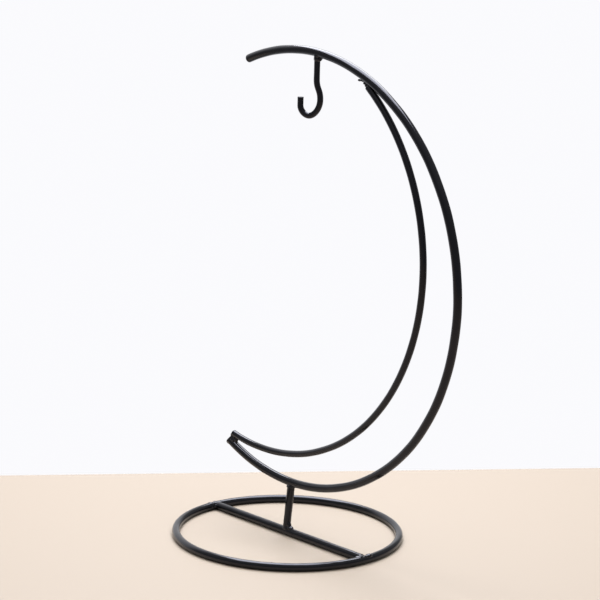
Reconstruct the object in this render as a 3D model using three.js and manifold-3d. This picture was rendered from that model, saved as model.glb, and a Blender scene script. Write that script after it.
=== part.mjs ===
// A small table stand welded from round steel wire and painted black.
// A crescent of two bent wires stands on a short post over a round base, and a J hook under the
// crescent's upper end carries whatever hangs in it.
// Lengths are millimetres. +Z is up, +X runs along the crossbar towards the crescent's bulge, and
// the crescent lies in the plane Y = 0. The base ring rests on Z = 0.

import * as THREE from "three";
import { mergeVertices } from "three/addons/utils/BufferGeometryUtils.js";
import Module from "manifold-3d";

const wasm = await Module();
wasm.setup();

// ---------------------------------------------------------------- driving dimensions

// Wire diameters.
const RING_WIRE = 5;
const CROSSBAR_WIRE = 5;
const POST_WIRE = 4.6;
const OUTER_WIRE = 5;
const INNER_WIRE = 4;
const HOOK_WIRE = 3.5;

// Base ring.
const RING_OUTSIDE = 150;
const RING_RADIUS = (RING_OUTSIDE - RING_WIRE) / 2; // to the wire's centre line
const RING_SEAM_GAP = 1.2; // between the wire's two ends, filled by the seam weld
const RING_SEAM_ANGLE = 184; // degrees, just beside the crossbar's rear end
const CROSSBAR_LIFT = 0.3; // keeps the crossbar off the table, so that the ring alone rests on it

// Outer wire of the crescent, a circular arc that runs from the lower tip round to the free end.
const OUTER_RADIUS = 139.6;
const OUTER_CENTRE = { x: 3.4, z: 176.1 }; // from the ring's centre on the table
const OUTER_TIP_ANGLE = -116.6;
const OUTER_FREE_ANGLE = 111.6;
const FREE_END_DOME = 1.7; // height of the rounded cap on the free end

// Inner wire of the crescent.
const INNER_RADIUS = 137.8;
const INNER_CENTRE = { x: -24.1, z: 190.7 };
const INNER_TIP_ANGLE = -103.6;
const INNER_TOP_ANGLE = 52.5; // it is cut to a taper there against the outer wire

// Post, which leans a little towards the bulge.
const POST_FOOT_X = -1.1;
const POST_TOP_X = 2.5;

// Hook, bent in an upright plane that is turned a little from the crescent's plane.
const HOOK_X = 15.9; // where its stem hangs
const HOOK_TURN = 25; // degrees about the stem
const HOOK_STRAIGHT_END = 299; // height where the stem starts to swing out
const HOOK_SWING = 2.7; // how far the back of the hook stands out behind the stem
const HOOK_BACK_Z = 286; // height of the back's furthest point
const HOOK_BOTTOM = { s: -4.6, z: 275.8 }; // lowest point of the bowl's centre line
const HOOK_FRONT = { s: -10.5, z: 281.8 }; // where the bowl turns up into the straight nose
const HOOK_NOSE_Z = 287.2; // top of the nose

const GAP = 0.3; // between a weld, or a cut wire end, and the wire beside it

// Facets.
const WIRE_SIDES = 12; // a flat of the section faces down, so that the ring rests on flats
const RING_STEPS = 72;
const OUTER_STEPS = 66;
const INNER_STEPS = 44;
const HOOK_STEPS = 34;
const LUMP_SIDES = 8;
const LUMP_BANDS = 6;

// ---------------------------------------------------------------- places worked out from them

const GROWTH = 2 * GAP; // how much thicker a wire is as the cutter of its neighbours

const RING_Z = RING_WIRE / 2;
const CROSSBAR_Z = RING_Z + CROSSBAR_LIFT;
const CROSSBAR_END = RING_RADIUS - RING_WIRE / 2 - GAP;
const OUTER_BOTTOM_Z = OUTER_CENTRE.z - OUTER_RADIUS;
const SPAN_MIN_X = -RING_OUTSIDE / 2;
const SPAN_MAX_X = OUTER_CENTRE.x + OUTER_RADIUS + OUTER_WIRE / 2;
const ORIGIN_X = (SPAN_MIN_X + SPAN_MAX_X) / 2; // the frame's origin is under the middle of the box

const radians = THREE.MathUtils.degToRad;

// ---------------------------------------------------------------- curves

// Circular arc about a centre, in the upright plane Y = 0 or level in a plane Z = constant.
class WireArc extends THREE.Curve {
  constructor(centre, radius, startDegrees, endDegrees, upright) {
    super();
    this.centre = centre;
    this.radius = radius;
    this.start = radians(startDegrees);
    this.end = radians(endDegrees);
    this.upright = upright;
  }

  getPoint(t, target = new THREE.Vector3()) {
    const angle = this.start + (this.end - this.start) * t;
    const along = this.radius * Math.cos(angle);
    const across = this.radius * Math.sin(angle);
    if (this.upright) return target.set(this.centre.x + along, 0, this.centre.z + across);
    return target.set(this.centre.x + along, across, this.centre.z);
  }
}

function outerPoint(degrees, radius = OUTER_RADIUS) {
  const angle = radians(degrees);
  return new THREE.Vector3(
    OUTER_CENTRE.x + radius * Math.cos(angle),
    0,
    OUTER_CENTRE.z + radius * Math.sin(angle),
  );
}

function outerUndersideZ(x) {
  const across = x - OUTER_CENTRE.x;
  return OUTER_CENTRE.z + Math.sqrt(OUTER_RADIUS ** 2 - across ** 2) - OUTER_WIRE / 2;
}

// Quarter of an ellipse between two points whose tangents are level and upright.
function quarterTurn(from, to, startsUpright) {
  const handle = 0.5523; // share of the way that makes a cubic curve follow a quarter turn
  const first = from.clone();
  const second = to.clone();
  if (startsUpright) {
    first.z = THREE.MathUtils.lerp(from.z, to.z, handle);
    second.x = THREE.MathUtils.lerp(to.x, from.x, handle);
  } else {
    first.x = THREE.MathUtils.lerp(from.x, to.x, handle);
    second.z = THREE.MathUtils.lerp(to.z, from.z, handle);
  }
  return new THREE.CubicBezierCurve3(from, first, second, to);
}

// The hook's centre line, drawn in the plane Y = 0 with its stem on the Z axis.
function hookCurve(topZ) {
  const at = (s, z) => new THREE.Vector3(s, 0, z);
  const swingHandle = (HOOK_STRAIGHT_END - HOOK_BACK_Z) / 2;
  const curve = new THREE.CurvePath();
  curve.add(new THREE.LineCurve3(at(0, topZ), at(0, HOOK_STRAIGHT_END)));
  curve.add(
    new THREE.CubicBezierCurve3(
      at(0, HOOK_STRAIGHT_END),
      at(0, HOOK_STRAIGHT_END - swingHandle),
      at(HOOK_SWING, HOOK_BACK_Z + swingHandle),
      at(HOOK_SWING, HOOK_BACK_Z),
    ),
  );
  curve.add(quarterTurn(at(HOOK_SWING, HOOK_BACK_Z), at(HOOK_BOTTOM.s, HOOK_BOTTOM.z), true));
  curve.add(quarterTurn(at(HOOK_BOTTOM.s, HOOK_BOTTOM.z), at(HOOK_FRONT.s, HOOK_FRONT.z), false));
  curve.add(new THREE.LineCurve3(at(HOOK_FRONT.s, HOOK_FRONT.z), at(HOOK_FRONT.s, HOOK_NOSE_Z)));
  return curve;
}

// ---------------------------------------------------------------- shapes

// Section of a wire: a regular polygon whose flats, not its corners, lie at the wire's radius.
function wireSection(diameter) {
  const step = (2 * Math.PI) / WIRE_SIDES;
  const cornerRadius = diameter / 2 / Math.cos(step / 2);
  const corners = [];
  for (let i = 0; i < WIRE_SIDES; i += 1) {
    const angle = (i + 0.5) * step;
    corners.push(
      new THREE.Vector2(cornerRadius * Math.cos(angle), cornerRadius * Math.sin(angle)),
    );
  }
  return new THREE.Shape(corners);
}

function wireAlong(curve, diameter, steps) {
  return new THREE.ExtrudeGeometry(wireSection(diameter), {
    steps,
    extrudePath: curve,
    bevelEnabled: false,
  });
}

function straightWire(from, to, diameter) {
  return wireAlong(new THREE.LineCurve3(from, to), diameter, 1);
}

// One lump of weld metal: a ball stretched to three half-sizes, centred on a point.
function lump(centre, half) {
  const ball = new THREE.SphereGeometry(1, LUMP_SIDES, LUMP_BANDS);
  ball.rotateX(Math.PI / 2);
  ball.scale(half.x, half.y, half.z);
  ball.translate(centre.x, centre.y, centre.z);
  return ball;
}

// ---------------------------------------------------------------- joining and cutting

function solidOf(geometry) {
  const bare = geometry.index ? geometry.toNonIndexed() : geometry.clone();
  bare.deleteAttribute("normal");
  bare.deleteAttribute("uv");
  const merged = mergeVertices(bare, 1e-4);
  return new wasm.Manifold(
    new wasm.Mesh({
      numProp: 3,
      vertProperties: merged.attributes.position.array,
      triVerts: new Uint32Array(merged.index.array),
    }),
  );
}

function geometryOf(solid) {
  const mesh = solid.getMesh();
  const geometry = new THREE.BufferGeometry();
  geometry.setAttribute("position", new THREE.BufferAttribute(mesh.vertProperties, 3));
  geometry.setIndex(new THREE.BufferAttribute(mesh.triVerts, 1));
  const flat = geometry.toNonIndexed();
  flat.computeVertexNormals();
  return flat;
}

function cut(geometry, cutters) {
  let solid = solidOf(geometry);
  for (const cutter of cutters) {
    solid = solid.subtract(solidOf(cutter));
  }
  return geometryOf(solid);
}

function join(geometries) {
  let solid = solidOf(geometries[0]);
  for (const geometry of geometries.slice(1)) {
    solid = solid.add(solidOf(geometry));
  }
  return geometryOf(solid);
}

// ---------------------------------------------------------------- the wires

// Each takes a growth in diameter, so that the same wire, grown by GROWTH, cuts its neighbours.

function ringWire(growth = 0) {
  const halfGap = THREE.MathUtils.radToDeg(RING_SEAM_GAP / 2 / RING_RADIUS);
  const start = RING_SEAM_ANGLE + halfGap;
  const end = RING_SEAM_ANGLE + 360 - halfGap;
  const circle = new WireArc({ x: 0, z: RING_Z }, RING_RADIUS, start, end, false);
  return wireAlong(circle, RING_WIRE + growth, RING_STEPS);
}

function crossbarWire(growth = 0) {
  return straightWire(
    new THREE.Vector3(-CROSSBAR_END - growth / 2, 0, CROSSBAR_Z),
    new THREE.Vector3(CROSSBAR_END + growth / 2, 0, CROSSBAR_Z),
    CROSSBAR_WIRE + growth,
  );
}

function postWire(growth = 0) {
  return straightWire(
    new THREE.Vector3(POST_FOOT_X, 0, CROSSBAR_Z),
    new THREE.Vector3(POST_TOP_X, 0, OUTER_BOTTOM_Z),
    POST_WIRE + growth,
  );
}

function outerWire(growth = 0) {
  const arc = new WireArc(OUTER_CENTRE, OUTER_RADIUS, OUTER_TIP_ANGLE, OUTER_FREE_ANGLE, true);
  return wireAlong(arc, OUTER_WIRE + growth, OUTER_STEPS);
}

function innerWire(growth = 0) {
  const arc = new WireArc(INNER_CENTRE, INNER_RADIUS, INNER_TIP_ANGLE, INNER_TOP_ANGLE, true);
  return wireAlong(arc, INNER_WIRE + growth, INNER_STEPS);
}

function hookWire(growth = 0) {
  const wire = wireAlong(
    hookCurve(outerUndersideZ(HOOK_X) + OUTER_WIRE / 2),
    HOOK_WIRE + growth,
    HOOK_STEPS,
  );
  wire.rotateZ(radians(HOOK_TURN));
  wire.translate(HOOK_X, 0, 0);
  return wire;
}

// Rounded cap over the outer wire's free end, with a skirt sunk into the wire.
function freeEndCap() {
  const rim = OUTER_WIRE / 2;
  const skirt = 1;
  const bands = 4;
  const profile = [new THREE.Vector2(0, -skirt), new THREE.Vector2(rim, -skirt)];
  for (let i = 0; i < bands; i += 1) {
    const angle = (i / bands) * (Math.PI / 2);
    profile.push(new THREE.Vector2(rim * Math.cos(angle), FREE_END_DOME * Math.sin(angle)));
  }
  profile.push(new THREE.Vector2(0, FREE_END_DOME));
  const cap = new THREE.LatheGeometry(profile, WIRE_SIDES);
  cap.rotateZ(radians(OUTER_FREE_ANGLE));
  const end = outerPoint(OUTER_FREE_ANGLE);
  cap.rotateX(Math.PI / 2);
  cap.translate(end.x, end.y, end.z);
  return cap;
}

function makeOuterArc() {
  return join([outerWire(), freeEndCap()]);
}

function makeInnerArc() {
  return cut(innerWire(), [outerWire(GROWTH)]);
}

function makePost() {
  return cut(postWire(), [crossbarWire(GROWTH), outerWire(GROWTH)]);
}

function makeHook() {
  return cut(hookWire(), [outerWire(GROWTH)]);
}

// ---------------------------------------------------------------- the welds

// Lumps joined and cut clear of the wires; crumbs that the cuts leave beside the bead are dropped.
function weld(lumps, wires) {
  const bead = cut(
    join(lumps),
    wires.map((wire) => wire(GROWTH)),
  );
  const bodies = solidOf(bead).decompose();
  bodies.sort((a, b) => b.volume() - a.volume());
  return geometryOf(bodies[0]);
}

// Bead over the ring's two ends, on the top and sides only.
function makeRingSeamWeld() {
  const inward = 0.9; // keeps the bead inside the ring's outer edge
  const raised = 0.7; // keeps it off the table
  const angle = radians(RING_SEAM_ANGLE);
  const centre = {
    x: (RING_RADIUS - inward) * Math.cos(angle),
    y: (RING_RADIUS - inward) * Math.sin(angle),
    z: RING_Z + raised,
  };
  return weld([lump(centre, { x: 3.3, y: 1.3, z: 2.9 })], [ringWire, crossbarWire]);
}

// Bead round a crossbar end, in the corner between its flat cut and the ring, with a fuller cheek
// on the +Y side.
function makeCrossbarWeld(side) {
  const raised = 0.4; // keeps the bead off the table
  const x = side * (CROSSBAR_END + GAP);
  const z = CROSSBAR_Z + raised;
  const collar = lump({ x, y: 0, z }, { x: 2.6, y: 3.6, z: 2.7 });
  const cheek = lump({ x, y: CROSSBAR_WIRE / 2, z }, { x: 1.9, y: 1.7, z: 1.7 });
  return weld([collar, cheek], [ringWire, crossbarWire]);
}

// Bead of lumps laid round a wire's end, from one side of the wire to the other by way of +X, with
// the lumps swelling towards the middle of the bead.
function lumpBead(x, z, radius, sweepDegrees, size, swell) {
  const spacing = 36;
  const count = Math.round(sweepDegrees / spacing);
  const lumps = [];
  for (let i = 0; i <= count; i += 1) {
    const angle = radians((i - count / 2) * spacing);
    const half = size * (1 + swell * Math.cos(angle));
    const centre = { x: x + radius * Math.cos(angle), y: radius * Math.sin(angle), z };
    lumps.push(lump(centre, { x: half, y: half, z: half }));
  }
  return lumps;
}

function makePostFootWeld() {
  const sweep = 252; // leaves the post's -X side bare
  const towardsBulge = 0.6;
  const z = CROSSBAR_Z + CROSSBAR_WIRE / 2;
  const lumps = lumpBead(POST_FOOT_X + towardsBulge, z, POST_WIRE / 2 + 0.2, sweep, 1.3, 0.3);
  return weld(lumps, [crossbarWire, postWire]);
}

const ALL_ROUND = 324; // degrees from the first lump to the last, one spacing short of a turn

function makePostTopWeld() {
  const z = OUTER_BOTTOM_Z - OUTER_WIRE / 2;
  const lumps = lumpBead(POST_TOP_X, z, POST_WIRE / 2, ALL_ROUND, 1.4, 0.1);
  return weld(lumps, [outerWire, postWire]);
}

function makeHookWeld() {
  const lumps = lumpBead(HOOK_X, outerUndersideZ(HOOK_X), HOOK_WIRE / 2, ALL_ROUND, 1.4, 0.15);
  return weld(lumps, [outerWire, hookWire]);
}

// Bead that fills the sharp corner above the inner wire's tapered end, with a small spur of
// spatter at its upper tip.
function makeInnerTopWeld() {
  const inside = OUTER_RADIUS - OUTER_WIRE / 2;
  const sideways = 0.2; // how much further the bead reaches across the crescent's plane
  const stations = [
    { angle: 68, off: 0.5, half: 0.9 },
    { angle: 67.2, off: 0.8, half: 1.3 },
    { angle: 66.3, off: 1.2, half: 1.7 },
    { angle: 65.4, off: 1.5, half: 2 },
    { angle: 64.5, off: 1.2, half: 1.9 },
    { angle: 63.6, off: 0.8, half: 1.7 },
  ];
  const lumps = stations.map(({ angle, off, half }) =>
    lump(outerPoint(angle, inside - off), { x: half, y: half + sideways, z: half }),
  );
  const spur = lump(outerPoint(68.2, inside - 1.4), { x: 1.3, y: 0.8, z: 0.7 });
  return weld([...lumps, spur], [outerWire, innerWire]);
}

// Bead between the two wires at the crescent's lower tip.
function makeTipWeld() {
  const count = 5;
  const firstAngle = OUTER_TIP_ANGLE + 0.6;
  const angleStep = 0.75;
  const firstRadius = OUTER_RADIUS - OUTER_WIRE / 2 - 0.6;
  const radiusStep = 0.25; // each lump lies nearer to the outer wire than the one before
  const half = { x: 1.6, y: 1.9, z: 1.6 };
  const lumps = [];
  for (let i = 0; i < count; i += 1) {
    lumps.push(lump(outerPoint(firstAngle + i * angleStep, firstRadius + i * radiusStep), half));
  }
  return weld(lumps, [outerWire, innerWire]);
}

// ---------------------------------------------------------------- the assembly

// Gloss black paint, sprayed over the wires and the welds alike once the stand is welded up.
const PAINT = { color: 0x1b1b1e, roughness: 0.28, metalness: 0.1 };

const stand = new THREE.Group();
stand.position.x = -ORIGIN_X;

function addPiece(name, geometry) {
  const mesh = new THREE.Mesh(geometry, new THREE.MeshStandardMaterial(PAINT));
  mesh.name = name;
  stand.add(mesh);
}

addPiece("base_ring", ringWire());
addPiece("crossbar", crossbarWire());
addPiece("post", makePost());
addPiece("outer_arc", makeOuterArc());
addPiece("inner_arc", makeInnerArc());
addPiece("hook", makeHook());
addPiece("ring_seam_weld", makeRingSeamWeld());
addPiece("crossbar_rear_weld", makeCrossbarWeld(-1));
addPiece("crossbar_front_weld", makeCrossbarWeld(1));
addPiece("post_foot_weld", makePostFootWeld());
addPiece("post_top_weld", makePostTopWeld());
addPiece("hook_weld", makeHookWeld());
addPiece("inner_arc_top_weld", makeInnerTopWeld());
addPiece("tip_weld", makeTipWeld());

const part = new THREE.Group();
part.add(stand);

export default part;
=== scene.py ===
"""A hanging display stand of black painted wire, standing in a plain studio.

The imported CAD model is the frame. Each wire node is replaced by a smooth round wire on the same
centre line, and each weld node by a fused, uneven bead. Lengths in this script are millimetres,
in the row frame (+Z up, +X towards the crescent's bulge), until mesh_piece turns them to metres.
The camera, the stage and the light, in the last two sections, are in metres.
"""
import math

import bmesh
import bpy
import numpy as np
from mathutils import Matrix, Vector


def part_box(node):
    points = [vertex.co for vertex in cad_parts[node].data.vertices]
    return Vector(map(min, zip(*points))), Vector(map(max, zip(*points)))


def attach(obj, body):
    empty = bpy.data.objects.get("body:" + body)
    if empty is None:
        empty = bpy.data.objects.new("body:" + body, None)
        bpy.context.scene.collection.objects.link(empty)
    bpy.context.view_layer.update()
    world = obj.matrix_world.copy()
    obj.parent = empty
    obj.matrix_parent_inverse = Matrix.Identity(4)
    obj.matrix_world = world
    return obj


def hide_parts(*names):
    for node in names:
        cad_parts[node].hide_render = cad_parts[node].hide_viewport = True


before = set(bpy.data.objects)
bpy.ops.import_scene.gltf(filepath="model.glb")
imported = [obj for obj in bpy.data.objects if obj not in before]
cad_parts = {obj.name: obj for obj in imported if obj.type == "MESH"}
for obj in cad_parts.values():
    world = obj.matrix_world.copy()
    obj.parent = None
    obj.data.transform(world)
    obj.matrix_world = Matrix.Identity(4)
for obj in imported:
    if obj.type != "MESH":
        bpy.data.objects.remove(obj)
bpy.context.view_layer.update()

MM = 0.001
UP = (0, 0, 1)
ACROSS = (0, 1, 0)

# ---------------------------------------------------------------- sizes and places


def box_mm(node):
    """A node's lowest and highest corners, in millimetres."""
    low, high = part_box(node)
    return np.array(low) / MM, np.array(high) / MM


ring_low, ring_high = box_mm("base_ring")
bar_low, bar_high = box_mm("crossbar")
post_low, post_high = box_mm("post")
outer_low, outer_high = box_mm("outer_arc")
inner_low, inner_high = box_mm("inner_arc")

# Radii of the painted wires: the thickness of each node, and the paint that the CAD leaves out.
BASE_PAINT = 0.1  # on the ring and the crossbar
PAINT = 0.2  # on the other wires
RING_WIRE = (ring_high[2] - ring_low[2]) / 2 + BASE_PAINT
BAR_WIRE = (bar_high[2] - bar_low[2]) / 2 + BASE_PAINT
POST_WIRE = (post_high[1] - post_low[1]) / 2 + PAINT
OUTER_WIRE = (outer_high[1] - outer_low[1]) / 2 + PAINT
INNER_WIRE = (inner_high[1] - inner_low[1]) / 2 + PAINT
HOOK_WIRE = 3.5 / 2 + PAINT

RING_CENTRE = (ring_low + ring_high) / 2
RING_RADIUS = (ring_high[1] - ring_low[1]) / 2 - RING_WIRE + BASE_PAINT
SEAM_ANGLE = 184  # where the ring's ends meet, beside the crossbar's rear end
SEAM_GAP = 0.6

BAR_Z = (bar_low[2] + bar_high[2]) / 2

OUTER_RADIUS = 139.6
OUTER_CENTRE = outer_high - OUTER_RADIUS - OUTER_WIRE + PAINT
OUTER_TIP_ANGLE = -116.6
OUTER_FREE_ANGLE = 111.6
FREE_END_DOME = 1.7  # height of the arc's rounded end

INNER_RADIUS = 137.8
INNER_CENTRE = np.array(
    [
        inner_high[0] - INNER_RADIUS - INNER_WIRE + PAINT,
        0,
        inner_low[2] + INNER_RADIUS + INNER_WIRE - PAINT,
    ]
)
INNER_TIP_ANGLE = -103.6
INNER_TOP_ANGLE = 51.6  # a little short of the CAD wire's tapered end, which the bead covers

# The post's ends on the centre lines of the crossbar and the outer arc. It leans a little.
POST_FOOT = np.array([RING_CENTRE[0] - 1.1, 0, BAR_Z])
POST_TOP = np.array([RING_CENTRE[0] + 2.5, 0, OUTER_CENTRE[2] - OUTER_RADIUS])

# The hook: its stem, how far its plane is turned about the stem, and its bends, given as
# distances s from the stem in that plane and heights z.
HOOK_X = RING_CENTRE[0] + 15.9
HOOK_TURN = math.radians(25)
HOOK_STRAIGHT_END = 299
HOOK_BACK = (2.7, 286)
HOOK_BOTTOM = (-4.6, 275.8)
HOOK_FRONT = (-10.5, 281.8)
HOOK_NOSE_Z = 287.2

# The crescent's end face: its slope from square across the outer arc, and the distance that it
# spans, between the centre lines of the two arcs.
END_LEAN = 0.12
END_SPAN = 6

WIRE_SIDES = 40
SPACING = 1.2  # between the rings of a wire's mesh
END_EDGE = {"cut": 0.35, "blunt": 0.9, "dome": 0}  # radius on the edge of each kind of wire end
BEND_FADE = 15  # length at each end of a wire over which its uneven bend dies out
PAINT_WAVE = 0.012  # height of the slow waves in the paint's thickness
CELL = 0.17  # grid that the weld beads are meshed on


def arc_points(centre, radius, start, end, bulge):
    """Points of an arc in the plane of the crescent, with a slight outward bulge.

    The bulge is given as (height, angle of its middle, spread in degrees).
    """
    height, middle, spread = bulge
    count = int(abs(math.radians(end - start)) * radius / SPACING) + 2
    degrees = np.linspace(start, end, count)
    angle = np.radians(degrees)
    radius = radius + height * np.exp(-(((degrees - middle) / spread) ** 2))
    points = np.zeros((count, 3))
    points[:, 0] = centre[0] + radius * np.cos(angle)
    points[:, 2] = centre[2] + radius * np.sin(angle)
    return points


def on_outer(degrees, radius=OUTER_RADIUS):
    """A point at an angle on the outer arc, or on a circle round the same centre."""
    angle = math.radians(degrees)
    return OUTER_CENTRE * [1, 0, 1] + [radius * math.cos(angle), 0, radius * math.sin(angle)]


def arc_gap(degrees):
    """Radius of the middle of the gap between the arcs, at an angle on the outer one, and the gap."""
    outward = np.array([math.cos(math.radians(degrees)), 0, math.sin(math.radians(degrees))])
    shift = INNER_CENTRE - OUTER_CENTRE * [1, 0, 1]
    along = shift @ outward
    inner = along + math.sqrt(INNER_RADIUS**2 - shift @ shift + along**2) + INNER_WIRE
    outer = OUTER_RADIUS - OUTER_WIRE
    return (inner + outer) / 2, outer - inner


def outer_underside(x):
    """Height of the outer arc's underside above a place on the X axis."""
    return OUTER_CENTRE[2] + math.sqrt(OUTER_RADIUS**2 - (x - OUTER_CENTRE[0]) ** 2) - OUTER_WIRE


# ---------------------------------------------------------------- wire meshes


def wobble(along, reach, seed):
    """Slow uneven bend of a hand-made wire, as an offset at each length along it."""
    random = np.random.RandomState(seed)
    total = np.zeros_like(along)
    for wavelength in (31.0, 53.0, 97.0):
        total += np.sin(2 * math.pi * along / wavelength + random.uniform(0, 2 * math.pi))
    return total * reach / 3


def end_rings(kind, radius):
    """Rings that close a wire, as (distance past the last body ring, radius), ending at its axis."""
    steps = 6
    turns = [step / steps * math.pi / 2 for step in range(1, steps + 1)]
    if kind == "dome":
        return [(FREE_END_DOME * math.sin(a), radius * math.cos(a)) for a in turns[:-1]] + [
            (FREE_END_DOME, 0)
        ]
    edge = END_EDGE[kind]
    rim = [(edge * math.sin(a), radius - edge + edge * math.cos(a)) for a in turns]
    return rim + [(edge, (radius - edge) / 2), (edge, 0)]


def wire_mesh(points, normal, radius, ends=("cut", "cut"), bend=0.0, seed=1):
    """A round wire along a flat curve whose plane has that normal."""
    points = np.array(points, float)
    tangents = np.gradient(points, axis=0)
    tangents /= np.linalg.norm(tangents, axis=1, keepdims=True)
    normal = np.array(normal, float)
    along = np.concatenate([[0], np.cumsum(np.linalg.norm(np.diff(points, axis=0), axis=1))])
    sides = np.cross(normal, tangents)
    sides /= np.linalg.norm(sides, axis=1, keepdims=True)
    # The bend dies out at both ends, so that the wire still meets its neighbours.
    fade = np.clip(np.minimum(along, along[-1] - along) / BEND_FADE, 0, 1)
    points = points + sides * (wobble(along, bend, seed) * fade)[:, None]
    points = points + normal * (wobble(along, bend, seed + 50) * fade)[:, None]
    waves = np.sin(along / 2.3 + seed) + np.sin(along / 3.7 + 2 * seed)
    body_radius = radius + PAINT_WAVE * (waves - 2)

    # Rings of the wire, from one closed end to the other: centre, radius, and sideways direction.
    centres, radii, frames = [], [], []
    first_edge, last_edge = END_EDGE[ends[0]], END_EDGE[ends[1]]
    for advance, ring in reversed(end_rings(ends[0], radius)):
        centres.append(points[0] - tangents[0] * (advance - first_edge))
        radii.append(ring)
        frames.append(sides[0])
    for i in range(len(points)):
        if along[i] < first_edge or along[-1] - along[i] < last_edge:
            continue
        centres.append(points[i])
        radii.append(body_radius[i])
        frames.append(sides[i])
    for advance, ring in end_rings(ends[1], radius):
        centres.append(points[-1] + tangents[-1] * (advance - last_edge))
        radii.append(ring)
        frames.append(sides[-1])

    angles = 2 * math.pi * np.arange(WIRE_SIDES) / WIRE_SIDES
    vertices, faces, rings = [], [], []
    for centre, ring, side in zip(centres, radii, frames):
        if ring == 0:
            rings.append([len(vertices)])
            vertices.append(centre)
            continue
        rings.append(list(range(len(vertices), len(vertices) + WIRE_SIDES)))
        for angle in angles:
            vertices.append(centre + ring * (side * math.cos(angle) + normal * math.sin(angle)))
    for first, second in zip(rings, rings[1:]):
        for k in range(WIRE_SIDES):
            n = (k + 1) % WIRE_SIDES
            if len(first) == 1:
                faces.append((first[0], second[n], second[k]))
            elif len(second) == 1:
                faces.append((first[k], first[n], second[0]))
            else:
                faces.append((first[k], first[n], second[n], second[k]))
    return np.array(vertices), faces


# ---------------------------------------------------------------- fields for the weld beads

# A field gives the distance from each point to a shape's surface, negative inside it.


def outer_field(p):
    """The outer arc, as a whole circle of wire."""
    across = np.hypot(p[..., 0] - OUTER_CENTRE[0], p[..., 2] - OUTER_CENTRE[2]) - OUTER_RADIUS
    return np.hypot(across, p[..., 1]) - OUTER_WIRE


def inner_field(p):
    """The inner arc, as a whole circle of wire."""
    across = np.hypot(p[..., 0] - INNER_CENTRE[0], p[..., 2] - INNER_CENTRE[2]) - INNER_RADIUS
    return np.hypot(across, p[..., 1]) - INNER_WIRE


def ring_field(p):
    """The base ring, lying on the table."""
    across = np.hypot(p[..., 0] - RING_CENTRE[0], p[..., 1] - RING_CENTRE[1]) - RING_RADIUS
    return np.hypot(across, p[..., 2] - RING_WIRE) - RING_WIRE


def rod_field(p, start, end, radius):
    """A straight rod with flat ends."""
    start, end = np.array(start, float), np.array(end, float)
    length = np.linalg.norm(end - start)
    axis = (end - start) / length
    along = (p - start) @ axis
    radial = np.linalg.norm(p - start - along[..., None] * axis, axis=-1) - radius
    axial = np.abs(along - length / 2) - length / 2
    outside = np.hypot(np.maximum(radial, 0), np.maximum(axial, 0))
    return outside + np.minimum(np.maximum(radial, axial), 0)


def bar_field(p):
    return rod_field(p, (bar_low[0], 0, BAR_Z), (bar_high[0], 0, BAR_Z), BAR_WIRE)


def post_field(p):
    return rod_field(p, POST_FOOT, POST_TOP, POST_WIRE)


def hook_field(p):
    """The upper part of the hook's stem."""
    return rod_field(p, (HOOK_X, 0, 290), (HOOK_X, 0, outer_underside(HOOK_X)), HOOK_WIRE)


def lump_field(p, centre, half):
    """An ellipsoid with three half-sizes."""
    half = np.array(half, float)
    q = p - np.array(centre, float)
    scaled = np.linalg.norm(q / half, axis=-1)
    steep = np.linalg.norm(q / half**2, axis=-1)
    return scaled * (scaled - 1) / np.maximum(steep, 1e-6)


def blend(a, b, width):
    """Both shapes, with a fillet where they meet."""
    mix = np.clip(0.5 + 0.5 * (b - a) / width, 0, 1)
    return b + (a - b) * mix - width * mix * (1 - mix)


def ripple(p, reach, size, seed):
    """Smooth uneven bumps of about that size."""
    random = np.random.RandomState(seed)
    total = np.zeros(p.shape[:-1])
    waves = 9
    for _ in range(waves):
        direction = random.normal(size=3)
        direction *= 2 * math.pi / size / np.linalg.norm(direction) * random.uniform(0.6, 1.4)
        total += np.sin(p @ direction + random.uniform(0, 2 * math.pi))
    return total * reach / math.sqrt(waves)


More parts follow.
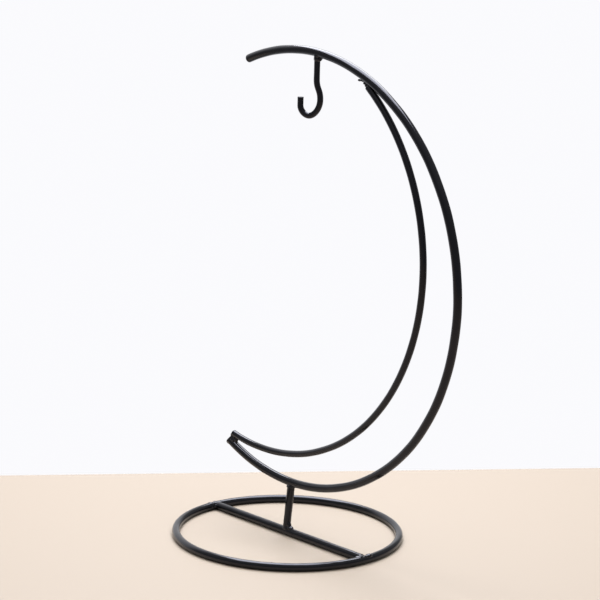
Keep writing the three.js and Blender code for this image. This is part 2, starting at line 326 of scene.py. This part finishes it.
def surface_net(field, low, high):
    """Quads round the space where the field is negative, one vertex to each grid cell it crosses."""
    counts = [int((high[a] - low[a]) / CELL) + 2 for a in range(3)]
    axes = [low[a] + CELL * np.arange(counts[a]) for a in range(3)]
    grid = np.stack(np.meshgrid(*axes, indexing="ij"), axis=-1)
    values = field(grid)
    inside = values < 0
    cells = [n - 1 for n in counts]
    # Where the surface crosses a grid edge is added up for the four cells round that edge.
    total = np.zeros(cells + [3])
    hits = np.zeros(cells)
    edges = []
    for axis in range(3):
        lower = [slice(None)] * 3
        upper = [slice(None)] * 3
        lower[axis] = slice(None, -1)
        upper[axis] = slice(1, None)
        v0, v1 = values[tuple(lower)], values[tuple(upper)]
        crossed = inside[tuple(lower)] != inside[tuple(upper)]
        share = np.where(crossed, v0 / np.where(crossed, v0 - v1, 1), 0)
        where = grid[tuple(lower)].copy()
        where[..., axis] += share * CELL
        edges.append((crossed, inside[tuple(lower)]))
        others = [a for a in range(3) if a != axis]
        for first in (0, 1):
            for second in (0, 1):
                part = [slice(None)] * 3
                part[others[0]] = slice(first, first + cells[others[0]])
                part[others[1]] = slice(second, second + cells[others[1]])
                mask = crossed[tuple(part)]
                total += where[tuple(part)] * mask[..., None]
                hits += mask
    used = hits > 0
    index = np.full(cells, -1)
    index[used] = np.arange(used.sum())
    vertices = total[used] / hits[used][:, None]
    # Each crossed edge makes one quad between its four cells, facing out of the solid.
    faces = []
    for axis in range(3):
        crossed, starts_inside = edges[axis]
        others = [(axis + 1) % 3, (axis + 2) % 3]
        for spot in np.argwhere(crossed):
            corner = []
            for first, second in ((-1, -1), (0, -1), (0, 0), (-1, 0)):
                cell = spot.copy()
                cell[others[0]] += first
                cell[others[1]] += second
                corner.append(int(index[tuple(cell)]))
            faces.append(tuple(corner) if starts_inside[tuple(spot)] else tuple(corner[::-1]))
    # Each vertex is moved onto the surface itself, in a few steps.
    for _ in range(3):
        vertices = vertices - field(vertices)[:, None] * field_normal(field, vertices)
    return vertices, faces


def field_normal(field, p):
    """Unit directions in which a field rises fastest."""
    step = 0.02
    slope = np.stack(
        [field(p + step * axis) - field(p - step * axis) for axis in np.eye(3)], axis=-1
    )
    return slope / np.maximum(np.linalg.norm(slope, axis=-1, keepdims=True), 1e-9)


def bead_mesh(wires, lumps, seed, fillet=0.9, rough=0.045, cut=None):
    """A weld bead: lumps fused to each other and to the wires that they join.

    The wires in the field are a little thinner than the real ones, so that away from the lumps
    the bead's surface dives under the paint of the wires. A cut is a field that trims the bead.
    """
    SUNK = 0.2
    MARGIN = 2.2
    LUMP_BLEND = 0.5
    CUT_BLEND = 0.25
    TABLE_GAP = 0.1
    RIPPLE_SIZE = 2.3
    centres = np.array([centre for centre, _ in lumps], float)
    halves = np.array([half for _, half in lumps], float)
    low = (centres - halves).min(0) - MARGIN
    high = (centres + halves).max(0) + MARGIN
    low[2] = max(low[2], -MARGIN)
    middle, reach = (low + high) / 2, (high - low) / 2

    def field(p):
        bead = None
        for centre, half in lumps:
            one = lump_field(p, centre, half)
            bead = one if bead is None else blend(bead, one, LUMP_BLEND)
        bead = bead + ripple(p, rough, RIPPLE_SIZE, seed)
        metal = None
        for wire in wires:
            one = wire(p) + SUNK
            metal = one if metal is None else np.minimum(metal, one)
        whole = blend(bead, metal, fillet)
        limit = lump_field(p, middle, reach - 0.3)
        below_table = TABLE_GAP - p[..., 2]
        whole = np.maximum(np.maximum(whole, limit), below_table)
        if cut:
            whole = -blend(-whole, -cut(p), CUT_BLEND)
        return whole

    return surface_net(field, low - CELL, high + CELL)


# ---------------------------------------------------------------- materials


def link(tree, source, target):
    tree.links.new(source, target)


def noise(tree, scale, detail):
    """Noise in the object's own coordinates; the scale is in waves to the metre."""
    place = tree.nodes.new("ShaderNodeTexCoord")
    texture = tree.nodes.new("ShaderNodeTexNoise")
    texture.inputs["Scale"].default_value = scale
    texture.inputs["Detail"].default_value = detail
    link(tree, place.outputs["Object"], texture.inputs["Vector"])
    return texture.outputs["Fac"]


def mapped(tree, source, from_range, to_range, kind="LINEAR"):
    """A value moved from one range to another."""
    node = tree.nodes.new("ShaderNodeMapRange")
    node.interpolation_type = kind
    node.inputs["From Min"].default_value, node.inputs["From Max"].default_value = from_range
    node.inputs["To Min"].default_value, node.inputs["To Max"].default_value = to_range
    link(tree, source, node.inputs["Value"])
    return node.outputs["Result"]


def enamel(name, base, roughness, bump, bump_size):
    """Gloss black paint: dark, smooth, with fine orange peel and a little dust in its roughness."""
    CLOUD_SCALE = 90
    SPECK_SCALE = 2600
    PATCH_SCALE = 240
    DUST_COLOUR = (0.03, 0.03, 0.032, 1)
    DUST_ROUGHNESS = 0.4
    material = bpy.data.materials.new(name)
    material.use_nodes = True
    tree = material.node_tree
    nodes = tree.nodes
    shader = nodes["Principled BSDF"]

    # Faint cloudy change of colour, between a blue black and a neutral black.
    colours = nodes.new("ShaderNodeValToRGB")
    dark, light = colours.color_ramp.elements
    dark.position, light.position = 0.3, 0.7
    dark.color = (base * 0.7, base * 0.7, base * 0.8, 1)
    light.color = (base * 1.2, base * 1.2, base * 1.35, 1)
    link(tree, noise(tree, CLOUD_SCALE, 4), colours.inputs["Fac"])

    # Fine pale specks of dust.
    dust = mapped(tree, noise(tree, SPECK_SCALE, 2), (0.66, 0.8), (0, 0.35))
    coloured = nodes.new("ShaderNodeMix")
    coloured.data_type = "RGBA"
    coloured.inputs["B"].default_value = DUST_COLOUR
    link(tree, dust, coloured.inputs["Factor"])
    link(tree, colours.outputs["Color"], coloured.inputs["A"])
    link(tree, coloured.outputs["Result"], shader.inputs["Base Color"])

    # Roughness changes slowly along the wire and rises in the dust.
    smooth, dull = roughness * 0.75, roughness * 1.35
    patches = mapped(tree, noise(tree, PATCH_SCALE, 5), (0.3, 0.75), (smooth, dull))
    dusty = nodes.new("ShaderNodeMath")
    dusty.operation = "MULTIPLY_ADD"
    dusty.inputs[1].default_value = DUST_ROUGHNESS
    link(tree, dust, dusty.inputs[0])
    link(tree, patches, dusty.inputs[2])
    link(tree, dusty.outputs["Value"], shader.inputs["Roughness"])

    # Orange peel.
    relief = nodes.new("ShaderNodeBump")
    relief.inputs["Strength"].default_value = 1
    relief.inputs["Distance"].default_value = bump * MM
    link(tree, noise(tree, 1 / (bump_size * MM), 3), relief.inputs["Height"])
    link(tree, relief.outputs["Normal"], shader.inputs["Normal"])

    shader.inputs["IOR"].default_value = 1.46
    shader.inputs["Specular Tint"].default_value = (0.84, 0.85, 1.0, 1)
    return material


WIRE_PAINT = enamel("painted_wire", base=0.002, roughness=0.14, bump=0.005, bump_size=1.4)
WELD_PAINT = enamel("painted_weld", base=0.0018, roughness=0.09, bump=0.008, bump_size=0.9)

# ---------------------------------------------------------------- pieces


def mesh_piece(name, shape, material, node):
    """Makes a mesh from millimetre points, and lets it stand for its CAD node."""
    vertices, faces = shape
    mesh = bpy.data.meshes.new(name)
    mesh.from_pydata((np.array(vertices) * MM).tolist(), [], faces)
    mesh.polygons.foreach_set("use_smooth", [True] * len(mesh.polygons))
    mesh.materials.append(material)
    piece = bpy.data.objects.new(name, mesh)
    bpy.context.scene.collection.objects.link(piece)
    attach(piece, "root")
    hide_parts(node)


def wire_piece(node, points, normal, radius, ends=("cut", "cut"), bend=0.0, seed=1):
    shape = wire_mesh(points, normal, radius, ends, bend, seed)
    mesh_piece(node + "_wire", shape, WIRE_PAINT, node)


def bead_piece(node, wires, lumps, seed, **options):
    shape = bead_mesh(wires, lumps, seed, **options)
    mesh_piece(node.replace("_weld", "_bead"), shape, WELD_PAINT, node)


def straight_points(start, end):
    """Points of a straight wire's centre line."""
    start, end = np.array(start, float), np.array(end, float)
    count = int(np.linalg.norm(end - start) / SPACING) + 2
    return start + np.linspace(0, 1, count)[:, None] * (end - start)


def make_ring():
    half_gap = math.degrees(SEAM_GAP / 2 / RING_RADIUS)
    count = int(2 * math.pi * RING_RADIUS / SPACING)
    angle = np.radians(np.linspace(SEAM_ANGLE + half_gap, SEAM_ANGLE + 360 - half_gap, count))
    points = np.zeros((count, 3))
    points[:, 0] = RING_CENTRE[0] + RING_RADIUS * np.cos(angle)
    points[:, 1] = RING_CENTRE[1] + RING_RADIUS * np.sin(angle)
    points[:, 2] = RING_WIRE
    wire_piece("base_ring", points, UP, RING_WIRE)


def make_crossbar():
    points = straight_points((bar_low[0], 0, BAR_Z), (bar_high[0], 0, BAR_Z))
    wire_piece("crossbar", points, ACROSS, BAR_WIRE, bend=0.05, seed=3)


def make_post():
    """Its foot is sunk 1 mm in the crossbar, and its top ends 1 mm under the outer arc's axis."""
    foot = POST_FOOT + [0, 0, BAR_WIRE - 1]
    top = POST_TOP - [0, 0, 1]
    wire_piece("post", straight_points(foot, top), ACROSS, POST_WIRE)


def make_outer_arc():
    points = arc_points(
        OUTER_CENTRE, OUTER_RADIUS, OUTER_TIP_ANGLE, OUTER_FREE_ANGLE, bulge=(0.45, -30, 42)
    )
    ends = ("cut", "dome")
    wire_piece("outer_arc", points, ACROSS, OUTER_WIRE, ends, bend=0.08, seed=5)


def make_inner_arc():
    points = arc_points(
        INNER_CENTRE,
        INNER_RADIUS,
        INNER_TIP_ANGLE + math.degrees(END_LEAN * END_SPAN / INNER_RADIUS),
        INNER_TOP_ANGLE,
        bulge=(0.38, -25, 50),
    )
    ends = ("cut", "blunt")
    wire_piece("inner_arc", points, ACROSS, INNER_WIRE, ends, bend=0.08, seed=8)


def bezier(start, first, second, end, count):
    """Points of a cubic curve from its two ends and two handles."""
    t = np.linspace(0, 1, count)[:, None]
    start, first, second, end = (np.array(p, float) for p in (start, first, second, end))
    return (
        start * (1 - t) ** 3
        + 3 * first * t * (1 - t) ** 2
        + 3 * second * t**2 * (1 - t)
        + end * t**3
    )


def hook_outline():
    """The hook's centre line in its own plane, as (s, z), from the weld down to the nose."""
    HANDLE = 0.5523  # share of the way that makes a cubic curve follow a quarter turn
    back_s, back_z = HOOK_BACK
    bottom_s, bottom_z = HOOK_BOTTOM
    front_s, front_z = HOOK_FRONT
    swing = (HOOK_STRAIGHT_END - back_z) / 2
    top = outer_underside(HOOK_X) + 1
    lead = np.linspace(top, HOOK_STRAIGHT_END, 14)
    parts = [
        np.stack([np.zeros(14), lead], axis=1),
        bezier(
            (0, HOOK_STRAIGHT_END),
            (0, HOOK_STRAIGHT_END - swing),
            (back_s, back_z + swing),
            (back_s, back_z),
            18,
        ),
        bezier(
            (back_s, back_z),
            (back_s, back_z + (bottom_z - back_z) * HANDLE),
            (bottom_s + (back_s - bottom_s) * (1 - HANDLE), bottom_z),
            (bottom_s, bottom_z),
            22,
        ),
        bezier(
            (bottom_s, bottom_z),
            (bottom_s + (front_s - bottom_s) * HANDLE, bottom_z),
            (front_s, front_z + (bottom_z - front_z) * (1 - HANDLE)),
            (front_s, front_z),
            16,
        ),
        np.stack([np.full(6, front_s), np.linspace(front_z, HOOK_NOSE_Z, 6)], axis=1),
    ]
    return np.concatenate([parts[0]] + [part[1:] for part in parts[1:]])


def make_hook():
    outline = hook_outline()
    points = np.stack(
        [
            HOOK_X + outline[:, 0] * math.cos(HOOK_TURN),
            outline[:, 0] * math.sin(HOOK_TURN),
            outline[:, 1],
        ],
        axis=1,
    )
    normal = (-math.sin(HOOK_TURN), math.cos(HOOK_TURN), 0)
    wire_piece("hook", points, normal, HOOK_WIRE)


def make_seam_bead():
    angle = math.radians(SEAM_ANGLE)
    at = RING_CENTRE + RING_RADIUS * np.array([math.cos(angle), math.sin(angle), 0])
    lumps = [
        (at + [0.5, 0, 0.5], (2.7, 1.2, 2.5)),
        (at + [-0.2, -0.5, 1.2], (1.8, 1.0, 1.7)),
    ]
    bead_piece("ring_seam_weld", [ring_field], lumps, seed=11)


def make_bar_bead(node, lumps, seed):
    """Bead between a crossbar end and the ring; its lumps are placed from the ring's centre."""
    centre = np.array([RING_CENTRE[0], 0, 0])
    placed = [(centre + place, half) for place, half in lumps]
    bead_piece(node, [ring_field, bar_field], placed, seed, fillet=0.6)


# The far cheek in its corner, the fill in the middle, the near cheek, then the lumps on top.
REAR_BAR_LUMPS = [
    ((-70.3, 2.4, 2.5), (1.5, 1.2, 1.4)),
    ((-70.6, -0.2, 2.4), (1.2, 1.5, 1.2)),
    ((-70.3, -2.6, 2.7), (1.4, 1.2, 1.5)),
    ((-71.2, -3.2, 4.4), (1.3, 1.4, 1.1)),
    ((-72.9, -1.0, 4.7), (1.0, 1.1, 0.7)),
]
FRONT_BAR_LUMPS = [
    ((70.3, 2.5, 2.6), (1.4, 1.2, 1.4)),
    ((70.6, 0.3, 2.4), (1.2, 1.5, 1.2)),
    ((70.3, -2.7, 2.8), (1.3, 1.2, 1.5)),
    ((71.9, -1.5, 4.8), (1.0, 1.1, 0.95)),
    ((72.0, -3.3, 4.7), (1.6, 1.5, 1.15)),
    ((71.0, -5.0, 4.4), (1.5, 1.5, 1.05)),
    ((73.6, 0.2, 4.9), (1.3, 1.3, 0.9)),
    ((72.9, 3.2, 4.6), (1.9, 2.3, 1.3)),
]


def make_post_foot_bead():
    """Bead on the bulge side of the post; the other side is nearly clean."""
    at = POST_FOOT + (POST_TOP - POST_FOOT) * (BAR_WIRE / (POST_TOP[2] - POST_FOOT[2]))
    lumps = [
        (at + [3.6, -0.3, 0.2], (2.4, 2.0, 1.1)),
        (at + [2.7, -0.3, 1.8], (1.3, 1.5, 1.9)),
        (at + [1.0, 1.9, -0.4], (1.4, 0.9, 0.9)),
        (at + [1.0, -1.9, -0.4], (1.4, 0.9, 0.9)),
        (at + [-0.8, 2.1, -0.6], (1.1, 0.6, 0.6)),
        (at + [-0.8, -2.1, -0.6], (1.1, 0.6, 0.6)),
    ]
    bead_piece("post_foot_weld", [bar_field, post_field], lumps, seed=31, fillet=1.0)


def lumps_round(at, radius, half, count, seed, swell=0.15):
    """A collar of lumps in a level circle."""
    random = np.random.RandomState(seed)
    lumps = []
    for k in range(count):
        angle = 2 * math.pi * k / count
        size = 1 + random.uniform(-swell, swell)
        place = [radius * math.cos(angle), radius * math.sin(angle), random.uniform(-0.2, 0.2)]
        lumps.append((at + np.array(place), np.array(half) * size))
    return lumps


def make_post_top_bead():
    at = POST_TOP - [0, 0, OUTER_WIRE]
    lumps = lumps_round(at, POST_WIRE - 0.2, (1.0, 1.0, 1.0), 9, seed=41)
    bead_piece("post_top_weld", [outer_field, post_field], lumps, seed=42, fillet=0.8)


def make_hook_bead():
    """A collar round the hook's stem, with a smear up the near face of the arc."""
    under = outer_underside(HOOK_X)
    at = np.array([HOOK_X + 0.35, 0.3, under - 0.8])
    lumps = lumps_round(at, HOOK_WIRE - 0.3, (1.2, 1.2, 1.6), 8, seed=51, swell=0.1)
    lumps.append((np.array([HOOK_X + 0.9, -1.5, under + 0.9]), (2.3, 1.0, 1.2)))
    bead_piece("hook_weld", [outer_field, hook_field], lumps, seed=52, fillet=0.8)


def make_inner_top_bead():
    """Fills the crotch of the two arcs, and ends in a small spur under the outer one."""
    angle = math.radians(INNER_TOP_ANGLE)
    ahead = np.array([-math.sin(angle), 0, math.cos(angle)])
    end = INNER_CENTRE + INNER_RADIUS * np.array([math.cos(angle), 0, math.sin(angle)])

    def inner_to_end(p):
        """The inner arc, stopped a little before its blunt end."""
        return np.maximum(inner_field(p), (p - end) @ ahead + 0.3)

    inside = OUTER_RADIUS - OUTER_WIRE
    # Each station: angle on the outer arc, depth below its inner side, and half-sizes.
    stations = [
        (67.4, 0.5, (0.8, 1.0, 0.7)),
        (66.6, 0.1, (1.2, 1.4, 0.6)),
        (65.8, 0.5, (1.3, 1.6, 1.0)),
        (65.0, 0.9, (1.3, 1.7, 1.3)),
        (64.3, 0.9, (1.2, 1.5, 1.2)),
        (68.0, 1.2, (1.45, 0.75, 0.75)),
    ]
    lumps = [(on_outer(station, inside - depth), half) for station, depth, half in stations]
    wires = [outer_field, inner_to_end]
    bead_piece("inner_arc_top_weld", wires, lumps, seed=61, fillet=0.6)


def make_tip_bead():
    """Fills the wedge between the arcs' ends and closes over both ends in one flat face."""
    END_ANGLE = OUTER_TIP_ANGLE - 0.1  # just past the outer arc's own end
    FADE = 2.2  # how far from the end the bead still covers the wires
    SWELL = 0.4  # how much thicker than the wires it is at the end

    def before_end(p):
        """Distance of a point before the end face, which leans back towards the inner arc."""
        angle = math.radians(END_ANGLE)
        ahead = np.array([-math.sin(angle), 0, math.cos(angle)])
        outward = np.array([math.cos(angle), 0, math.sin(angle)])
        return (p - on_outer(END_ANGLE)) @ (ahead + END_LEAN * outward)

    def covered(wire):
        """The wire, swollen near the end face and sunk under its paint farther back."""
        def field(p):
            share = np.clip(1 - before_end(p) / FADE, 0, 1)
            return wire(p) - SWELL * share * share
        return field

    def end_face(p):
        return -before_end(p)

    lumps = []
    for angle in (-116.8, -116.2, -115.6, -115.0, -114.4):
        middle, gap = arc_gap(angle)
        half = gap / 2 + 0.8
        lumps.append((on_outer(angle, middle), (1.2, 1.8 - 0.2 * (angle + 117), half)))
    # A ridge hides the crease along the outer arc, and a lump fills out the end's lower corner.
    for angle in (-116.8, -116.2, -115.6, -115.0):
        lumps.append((on_outer(angle, OUTER_RADIUS - OUTER_WIRE + 0.3), (1.2, 2.2, 1.1)))
    lumps.append((on_outer(OUTER_TIP_ANGLE, OUTER_RADIUS + OUTER_WIRE - 0.1), (0.9, 1.3, 0.8)))
    wires = [covered(outer_field), covered(inner_field)]
    bead_piece("tip_weld", wires, lumps, seed=71, fillet=0.8, cut=end_face)


make_ring()
make_crossbar()
make_post()
make_outer_arc()
make_inner_arc()
make_hook()
make_seam_bead()
make_bar_bead("crossbar_rear_weld", REAR_BAR_LUMPS, seed=20)
make_bar_bead("crossbar_front_weld", FRONT_BAR_LUMPS, seed=22)
make_post_foot_bead()
make_post_top_bead()
make_hook_bead()
make_inner_top_bead()
make_tip_bead()

# ---------------------------------------------------------------- camera

CAMERA_AZIMUTH = math.radians(47.526)
CAMERA_ELEVATION = math.radians(11.846)
CAMERA_ROLL = math.radians(1.543)
CAMERA_DISTANCE = 1.449
CAMERA_AIM = Vector((-0.0608, 0.0289, 0.1485))
LENS = 132.86
SENSOR = 36

AWAY = Vector((-math.sin(CAMERA_AZIMUTH), math.cos(CAMERA_AZIMUTH), 0))
RIGHT = Vector((math.cos(CAMERA_AZIMUTH), math.sin(CAMERA_AZIMUTH), 0))


def make_camera():
    data = bpy.data.cameras.new("camera")
    data.lens = LENS
    data.sensor_width = SENSOR
    data.clip_start = 0.05
    data.clip_end = 50
    camera = bpy.data.objects.new("camera", data)
    bpy.context.scene.collection.objects.link(camera)
    forward = AWAY * math.cos(CAMERA_ELEVATION) - Vector(UP) * math.sin(CAMERA_ELEVATION)
    above = RIGHT.cross(forward)
    right = RIGHT * math.cos(CAMERA_ROLL) + above * math.sin(CAMERA_ROLL)
    above = above * math.cos(CAMERA_ROLL) - RIGHT * math.sin(CAMERA_ROLL)
    turn = Matrix((right, above, -forward)).transposed()
    place = Matrix.Translation(CAMERA_AIM - forward * CAMERA_DISTANCE)
    camera.matrix_world = place @ turn.to_4x4()
    bpy.context.scene.camera = camera


make_camera()

# ---------------------------------------------------------------- floor, backdrop and light

TABLE_BEHIND = 0.149  # from the ring's centre to the table's rear edge
TABLE_SIZE = (3.2, 1.7)  # across and away from the camera
TABLE_YAW = math.radians(8)  # keeps the rear edge level in the rolled camera
TABLE_THICK = 0.03
TABLE_COLOUR = (0.224, 0.186, 0.149)
BACKDROP_RADIUS = 12
BACKDROP_COLOUR = (0.975, 0.975, 1.0)
BACKDROP_STRENGTH = 0.985


def stage_object(name, data):
    thing = bpy.data.objects.new(name, data)
    bpy.context.scene.collection.objects.link(thing)
    return thing


def plain_material(name, colour, roughness):
    material = bpy.data.materials.new(name)
    material.use_nodes = True
    shader = material.node_tree.nodes["Principled BSDF"]
    shader.inputs["Base Color"].default_value = (*colour, 1)
    shader.inputs["Roughness"].default_value = roughness
    return material


def make_table():
    width, depth = TABLE_SIZE
    mesh = bpy.data.meshes.new("table")
    corners = [
        (x, y, z)
        for z in (-TABLE_THICK, 0)
        for x, y in ((-width / 2, -depth), (width / 2, -depth), (width / 2, 0), (-width / 2, 0))
    ]
    sides = [(0, 1, 5, 4), (1, 2, 6, 5), (2, 3, 7, 6), (3, 0, 4, 7)]
    mesh.from_pydata(corners, [], [(3, 2, 1, 0), (4, 5, 6, 7)] + sides)
    mesh.materials.append(plain_material("pale_table", TABLE_COLOUR, 0.6))
    table = stage_object("table", mesh)
    centre = Vector((RING_CENTRE[0] * MM, 0, 0))
    place = Matrix.Translation(centre + AWAY * TABLE_BEHIND)
    table.matrix_world = place @ Matrix.Rotation(CAMERA_AZIMUTH + TABLE_YAW, 4, "Z")
    bevel = table.modifiers.new("rounded_edge", "BEVEL")
    bevel.width = 0.003
    bevel.segments = 4


def make_backdrop():
    """A plain white cyclorama that only the camera sees; the world lights the stand."""
    mesh = bpy.data.meshes.new("backdrop")
    ball = bmesh.new()
    bmesh.ops.create_uvsphere(ball, u_segments=48, v_segments=24, radius=BACKDROP_RADIUS)
    ball.to_mesh(mesh)
    ball.free()
    material = plain_material("white_backdrop", (0, 0, 0), 1)
    shader = material.node_tree.nodes["Principled BSDF"]
    shader.inputs["Emission Color"].default_value = (*BACKDROP_COLOUR, 1)
    shader.inputs["Emission Strength"].default_value = BACKDROP_STRENGTH
    shader.inputs["Specular IOR Level"].default_value = 0
    mesh.materials.append(material)
    backdrop = stage_object("backdrop", mesh)
    backdrop.visible_diffuse = False
    backdrop.visible_glossy = False
    backdrop.visible_transmission = False
    backdrop.visible_volume_scatter = False
    backdrop.visible_shadow = False


def make_world():
    """White behind the stand, brighter above it, and dimmer on the camera's side."""
    CAMERA_SIDE = 0.28  # strength of the dim side
    OVERHEAD = 1.5  # how many times brighter it is overhead
    world = bpy.data.worlds.new("studio")
    bpy.context.scene.world = world
    world.use_nodes = True
    tree = world.node_tree
    place = tree.nodes.new("ShaderNodeTexCoord")
    facing = tree.nodes.new("ShaderNodeVectorMath")
    facing.operation = "DOT_PRODUCT"
    facing.inputs[1].default_value = AWAY * 0.906 - RIGHT * 0.423
    link(tree, place.outputs["Generated"], facing.inputs[0])
    split = tree.nodes.new("ShaderNodeSeparateXYZ")
    link(tree, place.outputs["Generated"], split.inputs["Vector"])
    behind = facing.outputs["Value"]
    backdrop = mapped(tree, behind, (0.5, 0.82), (CAMERA_SIDE, BACKDROP_STRENGTH), "SMOOTHSTEP")
    glow = mapped(tree, split.outputs["Z"], (0.2, 0.75), (1.0, OVERHEAD), "SMOOTHSTEP")
    strength = tree.nodes.new("ShaderNodeMath")
    strength.operation = "MULTIPLY"
    link(tree, backdrop, strength.inputs[0])
    link(tree, glow, strength.inputs[1])
    background = tree.nodes["Background"]
    background.inputs["Color"].default_value = (*BACKDROP_COLOUR, 1)
    link(tree, strength.outputs["Value"], background.inputs["Strength"])


def make_panel(name, place, size, turn, radiance, colour):
    """A level panel of light, facing down, unseen by the camera itself."""
    data = bpy.data.lights.new(name, "AREA")
    data.shape = "RECTANGLE"
    data.size, data.size_y = size
    data.energy = radiance * math.pi * size[0] * size[1]
    data.color = colour
    light = bpy.data.objects.new(name, data)
    bpy.context.scene.collection.objects.link(light)
    light.location = place
    light.rotation_euler = (0, 0, CAMERA_AZIMUTH + turn)
    light.visible_camera = False
    return light


def make_lights():
    # The softbox reaches back over the stand, and makes the gloss on the tops of the wires.
    middle = AWAY * 0.45 - RIGHT * 0.02 + Vector(UP) * 0.9
    make_panel("softbox", middle, (0.76, 1.1), math.radians(-10), 9.3, (0.95, 0.96, 1.0))
    # The fill evens out the table, and is too dim to show in the gloss.
    fill = make_panel("fill", Vector(UP) * 3, (6, 6), 0, 2.5, (1.0, 1.0, 1.0))
    fill.visible_glossy = False


make_table()
make_backdrop()
make_world()
make_lights()

bpy.context.scene.view_settings.view_transform = "Standard"
